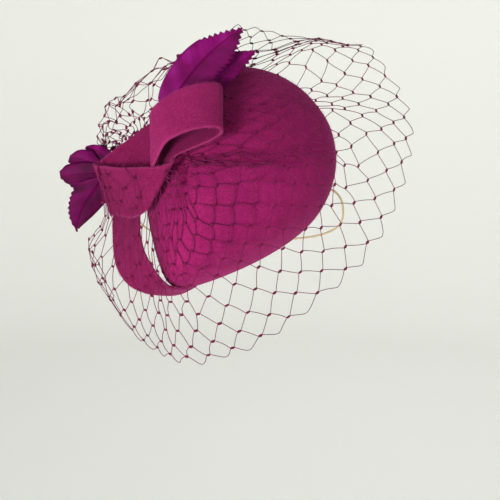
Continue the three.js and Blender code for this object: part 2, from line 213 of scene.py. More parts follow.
# ---- camera ----
def make_camera():
    """In front of the object and a little above it, looking along +Y and 12 degrees down."""
    data = bpy.data.cameras.new("camera")
    data.lens = CAMERA["lens"]
    data.sensor_width = 36
    data.clip_end = 20
    camera = bpy.data.objects.new("camera", data)
    bpy.context.collection.objects.link(camera)
    place = Vector(CAMERA["place"]) * MM
    aim = Vector(CAMERA["aim"]) * MM
    camera.location = place
    camera.rotation_euler = (aim - place).to_track_quat("-Z", "Y").to_euler()
    bpy.context.scene.camera = camera


make_camera()


# ---- materials ----
def linear(code):
    """An sRGB hex code as a linear colour."""
    parts = np.array([int(code[k:k + 2], 16) for k in (1, 3, 5)]) / 255
    low = parts / 12.92
    high = ((parts + 0.055) / 1.055) ** 2.4
    return (*np.where(parts <= 0.04045, low, high), 1.0)


def add(tree, kind, inputs=None, **settings):
    """Adds a node. Settings are its own properties, inputs are values or other nodes' outputs."""
    node = tree.nodes.new(kind)
    for name, value in settings.items():
        setattr(node, name, value)
    for socket, value in (inputs or {}).items():
        if isinstance(value, bpy.types.NodeSocket):
            tree.links.new(value, node.inputs[socket])
        else:
            node.inputs[socket].default_value = value
    return node


def new_material(name, **shader):
    """An empty material with one Principled shader. Returns the material, its tree and the shader."""
    material = bpy.data.materials.new(name)
    material.use_nodes = True
    tree = material.node_tree
    tree.nodes.clear()
    body = add(tree, "ShaderNodeBsdfPrincipled", shader)
    add(tree, "ShaderNodeOutputMaterial", {"Surface": body.outputs["BSDF"]})
    return material, tree, body


def ramp(tree, value, stops):
    """A colour ramp with (place, hex) stops."""
    node = add(tree, "ShaderNodeValToRGB", {"Fac": value})
    node.color_ramp.elements[0].position = stops[0][0]
    node.color_ramp.elements[0].color = linear(stops[0][1])
    node.color_ramp.elements[1].position = stops[-1][0]
    node.color_ramp.elements[1].color = linear(stops[-1][1])
    for place, code in stops[1:-1]:
        node.color_ramp.elements.new(place).color = linear(code)
    return node.outputs["Color"]


def wool_felt(name, dark, mid, light, ridged=False):
    """Blocked wool felt: matted fibres with no weave, so it is matt, mottled over a few millimetres,
    and has a short nap that catches light at grazing angles. Its colour is also mixed paler along cut
    edges, a painted highlight, and deeper on inner faces, a painted shade."""
    material, tree, body = new_material(
        name, **{"Roughness": 0.95, "Specular IOR Level": 0.08, "Sheen Weight": 0.42,
                 "Sheen Roughness": 0.36, "Sheen Tint": linear("#f070b8")})
    place = add(tree, "ShaderNodeTexCoord").outputs["Object"]
    cloud = add(tree, "ShaderNodeTexNoise", {"Vector": place, "Scale": 55, "Detail": 4, "Roughness": 0.62})
    mottle = add(tree, "ShaderNodeTexNoise", {"Vector": place, "Scale": 760, "Detail": 4, "Roughness": 0.7})
    fibre = add(tree, "ShaderNodeTexNoise",
                {"Vector": place, "Scale": 1700, "Detail": 3, "Roughness": 0.7, "Distortion": 0.6})
    both = add(tree, "ShaderNodeMix", {"Factor": 0.72, "A": cloud.outputs["Fac"], "B": mottle.outputs["Fac"]})
    all_three = add(tree, "ShaderNodeMix",
                    {"Factor": 0.5, "A": both.outputs["Result"], "B": fibre.outputs["Fac"]})
    tone = ramp(tree, all_three.outputs["Result"], [(0.37, dark), (0.5, mid), (0.63, light)])
    # painted highlight: the colour is mixed towards a light pink along the cut edges
    cut = add(tree, "ShaderNodeAttribute", attribute_name="cut")
    painted_highlight = add(tree, "ShaderNodeMix", {"A": tone, "B": linear("#b8457f")}, data_type="RGBA")
    tree.links.new(cut.outputs["Fac"], painted_highlight.inputs["Factor"])
    # painted shade: the colour is mixed towards a deep wine colour on inner faces
    inner = add(tree, "ShaderNodeAttribute", attribute_name="inner")
    deep = add(tree, "ShaderNodeMix", {"A": painted_highlight.outputs["Result"], "B": linear("#3d0a26")},
               data_type="RGBA")
    tree.links.new(inner.outputs["Fac"], deep.inputs["Factor"])
    tree.links.new(deep.outputs["Result"], body.inputs["Base Color"])
    height = add(tree, "ShaderNodeMix",
                 {"Factor": 0.55, "A": mottle.outputs["Fac"], "B": fibre.outputs["Fac"]})
    bump = add(tree, "ShaderNodeBump",
               {"Strength": 0.7, "Distance": 0.5 * MM, "Height": height.outputs["Result"]})
    if ridged:
        lines = add(tree, "ShaderNodeUVMap", uv_map="felt")
        wave = add(tree, "ShaderNodeTexWave",
                   {"Vector": lines.outputs["UV"], "Scale": 0.205, "Distortion": 1.2, "Detail": 2,
                    "Detail Scale": 0.3}, wave_type="BANDS", bands_direction="Y")
        press = add(tree, "ShaderNodeAttribute", attribute_name="pressed")
        depth = add(tree, "ShaderNodeMath", {0: wave.outputs["Fac"], 1: press.outputs["Fac"]},
                    operation="MULTIPLY")
        bump = add(tree, "ShaderNodeBump",
                   {"Strength": 0.5, "Distance": 0.35 * MM, "Height": depth.outputs[0],
                    "Normal": bump.outputs["Normal"]})
    tree.links.new(bump.outputs["Normal"], body.inputs["Normal"])
    return material


def loose_wool():
    """Single wool fibres that stand off the felt: matt, and paler than it, because light passes through."""
    material, tree, body = new_material(
        "loose wool fibre", **{"Roughness": 0.9, "Specular IOR Level": 0.1})
    place = add(tree, "ShaderNodeTexCoord").outputs["Object"]
    painted_shade = add(tree, "ShaderNodeTexNoise", {"Vector": place, "Scale": 300, "Detail": 1})
    tone = ramp(tree, painted_shade.outputs["Fac"], [(0.35, "#8f2560"), (0.65, "#b4487f")])
    tree.links.new(tone, body.inputs["Base Color"])
    return material


def dyed_feather():
    """Dyed goose vane: each barb is a smooth, slightly glossy strand, and the dyeing is uneven. The barb tone
    also carries painted shade and a painted highlight.
    """
    material, tree, body = new_material(
        "dyed goose feather", **{"Roughness": 0.55, "Specular IOR Level": 0.08, "Sheen Weight": 0.02,
                                 "Sheen Roughness": 0.3, "Sheen Tint": linear("#b050c8")})
    barb = add(tree, "ShaderNodeAttribute", attribute_name="barb")
    place = add(tree, "ShaderNodeTexCoord").outputs["Object"]
    streak = add(tree, "ShaderNodeTexNoise", {"Vector": place, "Scale": 90, "Detail": 3})
    mixed = add(tree, "ShaderNodeMix", {"Factor": 0.4, "A": barb.outputs["Fac"], "B": streak.outputs["Fac"]})
    tone = ramp(tree, mixed.outputs["Result"],
                [(0.1, "#380024"), (0.48, "#620049"), (0.66, "#780a62"), (0.9, "#862a7c")])
    tree.links.new(tone, body.inputs["Base Color"])
    return material


def veiling_thread():
    """Twisted nylon thread, a little shiny; the knots are denser and take more dye."""
    material, tree, body = new_material(
        "nylon veiling thread", **{"Roughness": 0.7, "Specular IOR Level": 0.15})
    knot = add(tree, "ShaderNodeAttribute", attribute_name="knot")
    tone = ramp(tree, knot.outputs["Fac"], [(0.2, "#641342"), (0.8, "#640c37")])
    tree.links.new(tone, body.inputs["Base Color"])
    return material


def covered_elastic():
    """Thread-covered elastic: pale and matt, with a fine uneven surface."""
    material, tree, body = new_material(
        "thread covered elastic", **{"Roughness": 0.75, "Specular IOR Level": 0.25})
    place = add(tree, "ShaderNodeTexCoord").outputs["Object"]
    grain = add(tree, "ShaderNodeTexNoise", {"Vector": place, "Scale": 1600, "Detail": 2})
    tone = ramp(tree, grain.outputs["Fac"], [(0.35, "#b9a27e"), (0.65, "#dcc9a6")])
    tree.links.new(tone, body.inputs["Base Color"])
    bump = add(tree, "ShaderNodeBump",
               {"Strength": 0.4, "Distance": 0.1 * MM, "Height": grain.outputs["Fac"]})
    tree.links.new(bump.outputs["Normal"], body.inputs["Normal"])
    return material


def plain_paper(name, code):
    """Matt studio paper."""
    return new_material(name, **{"Base Color": linear(code), "Roughness": 0.9, "Specular IOR Level": 0.1})[0]


# ---- numpy shapes ----
def catmull(p, t):
    """The Catmull-Rom blend of four points p[0]..p[3] at t from 0 to 1 between the middle two."""
    t = t[..., None]
    return 0.5 * (2 * p[1] + (p[2] - p[0]) * t + (2 * p[0] - 5 * p[1] + 4 * p[2] - p[3]) * t ** 2
                  + (3 * p[1] - p[0] - 3 * p[2] + p[3]) * t ** 3)


def along_rows(rows, place):
    """The smooth curve through the rows of a table, at places from 0, the first row, to 1, the last."""
    rows = np.asarray(rows, float)
    at = np.clip(place, 0, 1) * (len(rows) - 1)
    low = np.minimum(at.astype(int), len(rows) - 2)
    return catmull([rows[np.clip(low + k, 0, len(rows) - 1)] for k in (-1, 0, 1, 2)], at - low)


def turned(degrees, axis):
    """The matrix of a turn about X or Z."""
    c, s = np.cos(np.radians(degrees)), np.sin(np.radians(degrees))
    if axis == "x":
        return np.array([[1, 0, 0], [0, c, -s], [0, s, c]])
    return np.array([[c, -s, 0], [s, c, 0], [0, 0, 1]])


WORN_FRAME = turned(WORN["turn"], "z") @ turned(WORN["tilt"], "x") @ turned(WORN["roll"], "z")


def unit(vectors):
    """Vectors scaled to length 1."""
    return vectors / np.maximum(np.linalg.norm(vectors, axis=-1, keepdims=True), 1e-12)


def grid_normals(points):
    """The normals of a grid surface: the cross product of its two directions' gradients."""
    return unit(np.cross(np.gradient(points, axis=0), np.gradient(points, axis=1)))


def grid_faces(rows, columns, start=0, flip=False, ring=False):
    """The quads of a grid of vertices counted row by row from start. ring joins the last column to the
    first."""
    i = np.arange(rows - 1)[:, None]
    j = np.arange(columns if ring else columns - 1)[None, :]
    k = (j + 1) % columns
    quads = np.stack([i * columns + j, (i + 1) * columns + j, (i + 1) * columns + k, i * columns + k], -1)
    quads = quads.reshape(-1, 4) + start
    return quads[:, ::-1] if flip else quads


def ripple(points, wavelength, seed, waves=7):
    """Smooth unevenness from -1 to 1: the mean of a few sine waves in random directions."""
    rng = np.random.default_rng(seed)
    direction = unit(rng.normal(size=(waves, 3))) * (2 * np.pi / wavelength)
    direction = direction * rng.uniform(0.6, 1.6, (waves, 1))
    phase = rng.uniform(0, 2 * np.pi, waves)
    return np.sin(points @ direction.T + phase).mean(-1) * 1.6


def make_piece(name, points, faces, material, attributes=None, uv=None, weld=True):
    """A smooth mesh object at the origin from points in millimetres and a list of faces."""
    mesh = bpy.data.meshes.new(name)
    mesh.from_pydata((points.reshape(-1, 3) * MM).tolist(), [], faces)
    for key, values in (attributes or {}).items():
        layer = mesh.attributes.new(key, "FLOAT", "POINT")
        layer.data.foreach_set("value", np.ascontiguousarray(values, dtype=np.float32).ravel())
    if uv is not None:
        layer = mesh.uv_layers.new(name="felt")
        corner = np.empty(len(mesh.loops), dtype=np.int32)
        mesh.loops.foreach_get("vertex_index", corner)
        place = np.ascontiguousarray(uv.reshape(-1, 2)[corner], dtype=np.float32)
        layer.data.foreach_set("uv", place.ravel())
    if weld:
        work = bmesh.new()
        work.from_mesh(mesh)
        bmesh.ops.remove_doubles(work, verts=work.verts, dist=1e-6)
        bmesh.ops.dissolve_degenerate(work, edges=work.edges, dist=1e-7)
        bmesh.ops.recalc_face_normals(work, faces=work.faces)
        work.to_mesh(mesh)
        work.free()
    mesh.polygons.foreach_set("use_smooth", np.full(len(mesh.polygons), True))
    mesh.materials.append(material)
    piece = bpy.data.objects.new(name, mesh)
    bpy.context.collection.objects.link(piece)
    return piece


# ---- crown ----
def fullness(angle):
    """The teardrop's half width at an angle from its back end, before the sine."""
    c = np.cos(angle)
    return 1 + CROWN["taper"] * c - CROWN["waist"] * c ** 2


def rim_point(angle, grow=0.0):
    """A point of the rim outline, grown outwards by some millimetres."""
    x = (CROWN["half_width"] + grow) * np.sin(angle) * fullness(angle)
    y = (CROWN["half_length"] + grow) * np.cos(angle)
    return x, y


def dome(angle, lift, inset):
    """The dome at a lift from 0, the rim, to a right angle, the top, inset by some millimetres. It is a
    superellipse: cosine and sine of the lift to the power 2 over the squareness."""
    power = 2 / CROWN["squareness"]
    share = 1 - inset / ((CROWN["half_length"] + CROWN["half_width"]) / 2)
    x, y = rim_point(angle)
    reach = share * np.cos(lift) ** power
    height = (CROWN["height"] - inset) * np.sin(lift) ** power
    return np.stack(np.broadcast_arrays(x * reach, y * reach, height), -1)


def crown_profile(rings):
    """Lifts, insets and drops from the outer top down to the rim, round the rolled edge, and up inside."""
    lifts = np.linspace(1, 0, rings) ** 1.5 * np.pi / 2
    turn = np.linspace(0, np.pi, 9)[1:-1]
    roll_inset = FELT / 2 * (1 - np.cos(turn))
    inside = lifts[::-1]
    lift = np.concatenate([lifts, np.zeros(len(turn)), inside])
    inset = np.concatenate([np.zeros(rings), roll_inset, np.full(rings, FELT)])
    drop = np.concatenate([np.zeros(rings), -FELT / 2 * np.sin(turn), np.zeros(rings)])
    return lift, inset, drop


def make_crown(material):
    """The blocked crown: one closed shell, a little uneven as if shaped by hand, with a painted highlight at
    its cut edge.
    """
    sides, rings = CROWN_GRID["sides"], CROWN_GRID["rings"]
    lift, inset, drop = crown_profile(rings)
    angle = np.linspace(0, 2 * np.pi, sides, endpoint=False)
    points = dome(angle[None, :], lift[:, None], inset[:, None])
    points[..., 2] += drop[:, None]
    body = np.clip(points[..., 2:] / 12, 0.15, 1)
    normal = unit(np.stack([points[..., 0] / 1.2, points[..., 1] / 2, points[..., 2] * 2 + 4], -1))
    hand = ripple(points, 46, 3)[..., None] * 0.45 + ripple(points, 14, 4)[..., None] * 0.10
    points = points + normal * hand * body
    # painted highlight: the rolled cut edge at the rim is made paler
    cut = np.exp(-((inset - FELT / 2) / (FELT * 0.34)) ** 2) * (np.abs(lift) < 0.002)
    cut = np.repeat(cut[:, None], sides, 1) * 0.2
    faces = grid_faces(len(lift), sides, ring=True).tolist()
    piece = make_piece("crown_felt", points @ WORN_FRAME.T, faces, material, {"cut": cut})
    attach(piece, "root")
    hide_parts("crown")
    outer = (points @ WORN_FRAME.T)[4:rings]
    make_nap("crown_nap", outer, -grid_normals(outer), NAP["crown"], 61)


def make_nap(name, surface, normals, count, seed):
    """Loose wool fibres on a grid surface: each stands at a random grid point and leans over as it
    rises, by its length times a share of the way up squared."""
    rng = np.random.default_rng(seed)
    rows = rng.integers(0, surface.shape[0], count)
    columns = rng.integers(0, surface.shape[1], count)
    base, up = surface[rows, columns], normals[rows, columns]
    lean = unit(rng.normal(size=(count, 3))) * rng.uniform(0.3, 1.1, (count, 1))
    reach = rng.uniform(*NAP["reach"], (count, 1))
    s = np.linspace(0, 1, 3)[None, :, None]
    paths = base[:, None] + reach[:, None] * (up[:, None] * (s - 0.15) + lean[:, None] * s ** 2)
    radii = NAP["thick"] / 2 * np.array([1, 0.9, 0.5])[None, :] * np.ones((count, 1))
    points, wall, caps = tubes(paths, radii, 3)
    piece = make_piece(name, points, mixed_faces(wall, caps), loose_wool(), weld=False)
    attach(piece, "root")


def over_crown(points, lift):
    """Points pushed out of the crown along the line from its middle, to lie at least lift above it."""
    local = points @ WORN_FRAME
    angle = np.arctan2(local[..., 0], local[..., 1])
    for _ in range(6):
        angle = np.arctan2(local[..., 0] / (CROWN["half_width"] * fullness(angle)),
                           local[..., 1] / CROWN["half_length"])
    reach = np.hypot(local[..., 0], local[..., 1]) / np.hypot(*rim_point(angle, lift))
    rise = np.maximum(local[..., 2], 0) / (CROWN["height"] + lift)
    share = (reach ** CROWN["squareness"] + rise ** CROWN["squareness"]) ** (1 / CROWN["squareness"])
    inside = (local[..., 2] > 0) & (share < 1)
    return points / np.where(inside, np.maximum(share, 0.05), 1)[..., None]


# ---- felt strips ----
def edge_samples(length, half, middle):
    """Places from 0 to 1 across a strip, close together where its cut edge rounds over."""
    near = half * (1 - np.cos(np.linspace(0, np.pi / 2, 6))) / length
    return np.concatenate([near, np.linspace(near[-1], 1 - near[-1], middle)[1:-1], (1 - near)[::-1]])


def rounded(distance, half):
    """The half thickness at a distance in from a cut edge, as a share: a quarter circle, then flat."""
    inward = 1 - np.clip(distance / half, 0, 1)
    return np.sqrt(np.clip(1 - inward ** 2, 0, 1))


def steps_from_ends(points, axis):
    """The distance gone along one grid direction, and the distance from its nearer end."""
    hop = np.linalg.norm(np.diff(points, axis=axis), axis=-1)
    pad = [(0, 0), (0, 0)]
    pad[axis] = (1, 0)
    gone = np.pad(np.cumsum(hop, axis=axis), pad)
    total = gone.max(axis=axis, keepdims=True)
    return gone, np.minimum(gone, total - gone)


def make_strip(name, node, surface, length, width, material, seed, ridges=None, inner=0.0):
    """A felt strip: surface(u, v) is its middle, and each face stands half the wall off it, rounding
    over at the four cut edges, where the two faces meet. The cut edges are made paler as a painted
    highlight, and the inner face is darkened as painted shade by the last argument."""
    half = FELT / 2
    u = edge_samples(length, half, int(length / 0.8))[:, None]
    v = edge_samples(width, half, int(width / 1.3))[None, :]
    u, v = np.broadcast_arrays(u, v)
    middle = surface(u, v)
    normal = grid_normals(middle)
    wobble = ripple(middle, 23, seed)[..., None] * 0.35 + ripple(middle, 7, seed + 1)[..., None] * 0.08
    gone_u, from_u = steps_from_ends(middle, 0)
    gone_v, from_v = steps_from_ends(middle, 1)
    middle = middle + normal * wobble
    thick = (half * rounded(from_u, half) * rounded(from_v, half))[..., None]
    points = np.concatenate([middle + normal * thick, middle - normal * thick])
    rows, columns = u.shape
    front, back = grid_faces(rows, columns), grid_faces(rows, columns, rows * columns, flip=True)
    faces = np.concatenate([front, back]).tolist()
    # painted highlight: paler along the four cut edges
    nearest = np.minimum(from_u, from_v)
    cut = np.exp(-(nearest / 0.8) ** 2) * 0.22
    both = {"cut": np.concatenate([cut, cut])}
    pressed = np.zeros_like(cut) if ridges is None else ridges(u, v)
    both["pressed"] = np.concatenate([pressed, pressed])
    # painted shade: the inner face is darkened by the last argument, less where it rounds into the edges
    both["inner"] = np.concatenate([np.zeros_like(cut), (thick[..., 0] / half) ** 2 * inner])
    flat = np.stack([gone_u, gone_v], -1)
    piece = make_piece(name, points, faces, material, both, np.concatenate([flat, flat]))
    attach(piece, "root")
    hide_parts(node)
    # loose fibres stand along the two long cut edges, which shed the most
    edges = (middle + normal * thick)[:, [0, 1, 2, 3, -4, -3, -2, -1]]
    across = unit(middle[:, -1:] - middle[:, :1])
    outwards = np.concatenate([-across.repeat(4, 1), across.repeat(4, 1)], 1)
    make_nap(name.replace("felt", "nap"), edges, outwards, NAP["strip"], seed + 2)


def ruled(top, foot):
    """The surface ruled between the smooth curves through two rows of points."""
    def surface(u, v):
        low, high = along_rows(foot, u), along_rows(top, u)
        return low + (high - low) * v[..., None]
    return surface


def loop_surface(u, v):
    """The loop: rows say how far along and out of the bow the ring has gone, v goes up its width. Its left
    end runs down behind the collar's front."""
    gone = along_rows(LOOP_ALONG_OUT, u)
    tail = np.clip(1 - (gone[..., :1] + 5) / 16, 0, 1) ** 1.3 * np.clip(1 - v[..., None], 0, 1) ** 2
    return (np.array([0.5, 4, -10]) * tail + np.array(LOOP["start"]) + gone[..., :1] * np.array(LOOP["along"])
            + gone[..., 1:] * np.array(LOOP["out"]) + v[..., None] * np.array(LOOP["width"]))


def loop_ridges(u, v):
    """How strongly the loop's pressed lines show: not at its start, and fully from 0.6 along it."""
    return np.clip((u - 0.35) * 4, 0, 1)


def path_length(surface, v):
    """The length of a strip along u at one v, in millimetres."""
    u = np.linspace(0, 1, 400)
    return float(np.linalg.norm(np.diff(surface(u, np.full(400, float(v))), axis=0), axis=1).sum())


def path_width(surface):
    """The mean width of a strip across v, in millimetres."""
    u = np.linspace(0, 1, 60)
    return float(np.linalg.norm(surface(u, np.ones(60)) - surface(u, np.zeros(60)), axis=1).mean())


# ---- plumes ----
def plume_point(row, across, v):
    """A point of the vane at across, in shares of half its width, and v along the quill. The vane folds
    a little towards the viewer on each side of the quill, by cup times across squared and
    never by more than 1.4 times cup."""
    root, tip, bow = (np.array(row[key], float) for key in ("root", "tip", "bow"))
    side = unit(np.array(row["side"], float))
    face = unit(np.cross(side, tip - root))
    v, across = np.broadcast_arrays(v, across)
    return (root + (tip - root) * v[..., None] + bow * (4 * v * (1 - v))[..., None]
            + side * across[..., None] * row["width"] / 2
            + face * row["cup"] * np.minimum(across ** 2, 1.4)[..., None])


def vane_edge(row, side, v):
    """The vane's half width on one side at v, with its pinked teeth: one slope of a tooth is short and
    the other long, so that the points lean towards the tip."""
    length = float(np.linalg.norm(np.subtract(row["tip"], row["root"])))
    shares = row["left"] if side < 0 else row["right"]
    edge = along_rows(np.array(shares, float)[:, None], v)[..., 0]
    phase = v * length / TOOTH["pitch"] % 1
    tooth = np.where(phase < TOOTH["rise"], phase / TOOTH["rise"], (1 - phase) / TOOTH["fall"])
    depth = row["teeth"] * np.clip((v - row["notched"][side > 0]) * 14, 0, 1)
    return np.maximum(edge - (1 - tooth) * depth / (row["width"] / 2), 0.02)


def tubes(paths, radii, sides, normals=None, flat=1.0):
    """Closed tubes along many paths at once: paths is (count, steps, 3), radii (count, steps). flat under 1
    flattens the section along the normal. Returns vertices, side quads and the triangles of the ends."""
    count, steps = paths.shape[:2]
    ahead = unit(np.gradient(paths, axis=1))
    if normals is None:
        normals = np.broadcast_to(np.array([0.31, -0.9, 0.3]), paths.shape)
    across = unit(np.cross(ahead, normals))
    up = np.cross(across, ahead)
    turn = np.linspace(0, 2 * np.pi, sides, endpoint=False)
    ring = (across[:, :, None] * np.cos(turn)[:, None] + up[:, :, None] * flat * np.sin(turn)[:, None])
    points = paths[:, :, None] + ring * radii[:, :, None, None]
    base = (np.arange(count) * steps * sides)[:, None, None]
    wall = (grid_faces(steps, sides, ring=True)[None] + base).reshape(-1, 4)
    ends = np.concatenate([paths[:, 0], paths[:, -1]])
    first = count * steps * sides
    a = np.arange(sides)
    tail = base + np.stack([a, (a + 1) % sides], -1)[None]
    caps = []
    for which, pairs in enumerate((tail, (tail + (steps - 1) * sides)[..., ::-1])):
        tip = (first + which * count + np.arange(count))[:, None, None]
        caps.append(np.concatenate([np.broadcast_to(tip, (count, sides, 1)), pairs], -1).reshape(-1, 3))
    return np.concatenate([points.reshape(-1, 3), ends]), wall, np.concatenate(caps)


def mixed_faces(wall, caps):
    """Quads and triangles as one list of faces."""
    return wall.tolist() + caps.tolist()


def plume_barbs(row, side, length, seed, rng):
    """The flat barbs on one side of a quill: they sweep towards the tip and lie edge over edge. A barb ends
    where its line first crosses the vane's edge. Returns vertices, quads, triangles and the tones."""
    count = int(length / BARB["pitch"])
    sweep = BARB["sweep"] / length
    tries = np.linspace(0, 2, 241)[None, :]
    start = np.linspace(0.0, BARB["last"], count)
    v = start[:, None] + sweep * tries ** 1.1
    beyond = (tries > vane_edge(row, side, np.clip(v, 0, 1))) | (v > 0.998)
    reach = np.maximum(tries[0][np.argmax(beyond, axis=1)], 0.03)
    s = np.linspace(0, 1, BARB["steps"])[None, :]
    across = side * reach[:, None] * s
    v = np.clip(start[:, None] + sweep * np.abs(across) ** 1.1, 0, 1)
    lines = plume_point(row, across, v)
    swell = plume_point(row, across + 0.01, v) - plume_point(row, across - 0.01, v)
    along = plume_point(row, across, v + 0.01) - plume_point(row, across, v - 0.01)
    normal = unit(np.cross(swell, along))
    wave = ripple(lines, 30, seed + side) * 0.5 + ripple(lines, 9, seed + side + 5) * 0.12
    lines = lines + normal * (wave * s)[..., None]
    shingle = unit(normal + 0.12 * unit(np.gradient(lines, axis=0)))
    width = np.interp(s[0], [0, 0.1, 0.85, 1], [0.30, 0.36, 0.34, 0.22])[None, :] * np.ones((count, 1))
    points, wall, caps = tubes(lines, width, 4, shingle, flat=0.22)
    # random tone along the quill, plus painted light: the left vane 0.12 lighter and the right darker, the
    # plume's shade offset darkening the lower plumes, and the main plume's left side lightened towards its
    # edge
    each = 0.5 + 0.22 * ripple(np.stack([start * length, 0 * start, 0 * start], -1), 11, seed + 9)
    each = np.clip(each + rng.normal(0, 0.04, count) - 0.12 * side + row["painted_shade"], 0, 1)
    shine = each[:, None] + row.get("painted_highlight", 0) * s * (side < 0) + 0.06 * np.sin(9 * start[:, None] + 5 * s)
    tone = np.concatenate([np.repeat(shine, 4, axis=1).ravel(), shine[:, 0], shine[:, -1]])
    return points, wall, caps, tone


def make_plume(row, material, seed):
    """A tapering quill with a row of barbs on each side."""
    rng = np.random.default_rng(seed)
    length = float(np.linalg.norm(np.subtract(row["tip"], row["root"])))
    vertices, faces, tone, first = [], [], [], 0
    for side in (-1, 1):
        points, wall, caps, shine = plume_barbs(row, side, length, seed, rng)
        vertices.append(points)
        faces += mixed_faces(wall + first, caps + first)
        tone.append(shine)
        first += len(points)
    v = np.linspace(0, BARB["last"], 40)
    quill = plume_point(row, np.zeros(40), v)[None]
    points, wall, caps = tubes(quill, (0.55 * (1 - 0.85 * v))[None], 8)
    vertices.append(points)
    faces += mixed_faces(wall + first, caps + first)
    # the quill takes half of the plume's painted shade
    tone.append(np.full(len(points), 0.4 + row["painted_shade"] / 2))
    name = row["name"].replace("plume", "feather")
    piece = make_piece(name, np.concatenate(vertices), faces, material,
                       {"barb": np.concatenate(tone)}, weld=False)
    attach(piece, "root")
    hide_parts(row["name"])


# ---- veil ----
def fan(cell, level):
    """The veil's surface: cell runs round the fan, level from 0 at the root station to 1 at the edge. Each
    station is a smooth curve through the ribs, and each rib a smooth curve through its stations."""
    cell, level = np.broadcast_arrays(np.asarray(cell, float), np.asarray(level, float))
    place = np.interp(cell, RIB_CELLS, np.arange(len(RIB_CELLS))) / (len(RIB_CELLS) - 1)
    table = np.array(RIBS, float).reshape(len(RIBS), 12)
    stations = along_rows(table, place).reshape(place.shape + (4, 3))
    at = np.clip(level, 0, 1) * 3
    low = np.minimum(at.astype(int), 2)
    picks = [np.clip(low + k, 0, 3)[..., None, None].repeat(3, -1) for k in (-1, 0, 1, 2)]
    return catmull([np.take_along_axis(stations, pick, axis=-2)[..., 0, :] for pick in picks], at - low)


def from_table(table, column, row):
    """A table's value at net columns and rows, both may be fractions."""
    keys = np.array(sorted(table))
    rows = np.array([table[key] for key in sorted(table)], float)
    place = np.interp(column, keys, np.arange(len(keys)))
    low = np.minimum(place.astype(int), len(keys) - 2)
    share = (place - low)[..., None]
    line = rows[low] * (1 - share) + rows[low + 1] * share
    at = np.clip(row / 2, 0, rows.shape[1] - 1)
    first = np.minimum(at.astype(int), rows.shape[1] - 2)
    picks = [np.take_along_axis(line, (first + k)[..., None], axis=-1)[..., 0] for k in (0, 1)]
    return picks[0] + (picks[1] - picks[0]) * (at - first)


def net_surface(cell, level):
    """The knots on the smooth veil. Past the last rib the net folds back behind itself."""
    behind = np.clip(cell - NET["cells"], 0, None)
    knots = fan(np.where(behind > 0, NET["cells"] - behind, cell), np.clip(level, 0, 1))
    return knots + np.clip(behind, 0, 3)[..., None] * np.array([0.8, 2.2, -3.2])


def crumpled(knots, column, level, rng):
    """Knots moved at random, more where the columns crowd, on the crushed side and along its fold. The
    gathered columns also wander together across the crown."""
    gap = np.linalg.norm(np.gradient(knots, axis=0), axis=-1) * 2
    crowd = np.clip(1 - gap / 13, 0, 1)
    bunch = np.clip((column - 28) / 6, 0, 1) * np.clip(level * 2, 0, 1)
    fold = np.exp(-((level - 0.62) / 0.07) ** 2) * np.clip((column - 24.5) / 3, 0, 1)
    loose = 0.25 + 0.35 * crowd + 1.2 * bunch + 1.5 * fold
    knots = knots + rng.normal(0, 1, knots.shape) * loose[..., None]
    wander = ripple(knots, 20, 71) * np.clip(crowd * 2 - 0.5, 0, 1) * np.clip((column - 12) / 2, 0, 1)
    shift = wander * np.clip((26 - column) / 3, 0, 1) * 4.5
    return knots + unit(np.gradient(knots, axis=0)) * shift[..., None]


def tucked(knots, column, level, cell, hidden):
    """Knots settled at the bow, where hidden ones end behind the felt."""
    # the threads go over the felt's edge and in behind it
    behind = hidden & (cell < 9) & (column > 4.4)
    knots = np.where(behind[..., None], knots + np.array([1, 8, -1]), knots)
    # in front of the collar the net lies on its face, and goes over its top edge
    ahead = np.clip(1 - level / 0.3, 0, 1) * np.clip((8.5 - cell) / 2, 0, 1)
    knots = knots + ahead[..., None] * np.array([-0.9, -1.7, 0.2])
    over_edge = hidden & (column < 4.6)
    return np.where(over_edge[..., None], knots + np.array([1.5, 2.6, 3.2]), knots)


def thread_runs(here):
    """Where each thread starts and ends, as half column and row, twice: from every knot to its two
    neighbours one row inwards."""
    i, j = np.nonzero(here)
    runs = []
    for turn in (1, -1):
        inside = (i + turn >= 0) & (i + turn < here.shape[0]) & (j + 1 < here.shape[1])
        runs.append(np.stack([i, j, i + turn, j + 1], -1)[inside])
    return np.concatenate(runs)


def thread_paths(knots, runs, round_fan, normal, rng):
    """The threads' paths, each from the end of one knot's bar to the end of the next one's."""
    first, second = tuple(runs[:, :2].T), tuple(runs[:, 2:].T)
    half_bar = NET["knot"][0] / 2 - 0.3
    lean = np.sign(runs[:, 2] - runs[:, 0])[:, None]
    open_edge = (runs[:, 1] == 0)[:, None]
    start = knots[first] + np.where(open_edge, 0, half_bar) * lean * round_fan[first]
    end = knots[second] - half_bar * lean * round_fan[second]
    s = np.linspace(0, 1, NET["steps"])[None, :, None]
    path = start[:, None] + (end - start)[:, None] * s
    # a thread bows a little off the straight line, more where its ends stand close together
    slack = np.clip(1 - np.linalg.norm(end - start, axis=-1) / 12, 0, 0.6)
    across = unit(np.cross(end - start, normal))
    bow = (rng.normal(0, 0.25, len(runs)) + rng.choice([-1, 1], len(runs)) * slack * 2.2)[:, None, None]
    rise = (np.abs(rng.normal(0, 0.2, len(runs))) + slack * 1.5)[:, None, None]
    path = path + across[:, None] * bow * np.sin(np.pi * s) + normal[:, None] * rise * np.sin(np.pi * s)
    # the free edge turns in a small round, so both its threads leave the corner squarely
    beside = np.pad(knots[:, 1], ((1, 1), (0, 0)), mode="edge")
    inwards = unit(beside[2:] + beside[:-2] - 2 * knots[:, 0])[runs[:, 0]]
    corner = np.clip(1 - s * 4.5, 0, 1) * np.where(open_edge, 1.0, 0)[:, None]
    return over_crown(path + corner * inwards[:, None] * 0.8, NET["lift"])


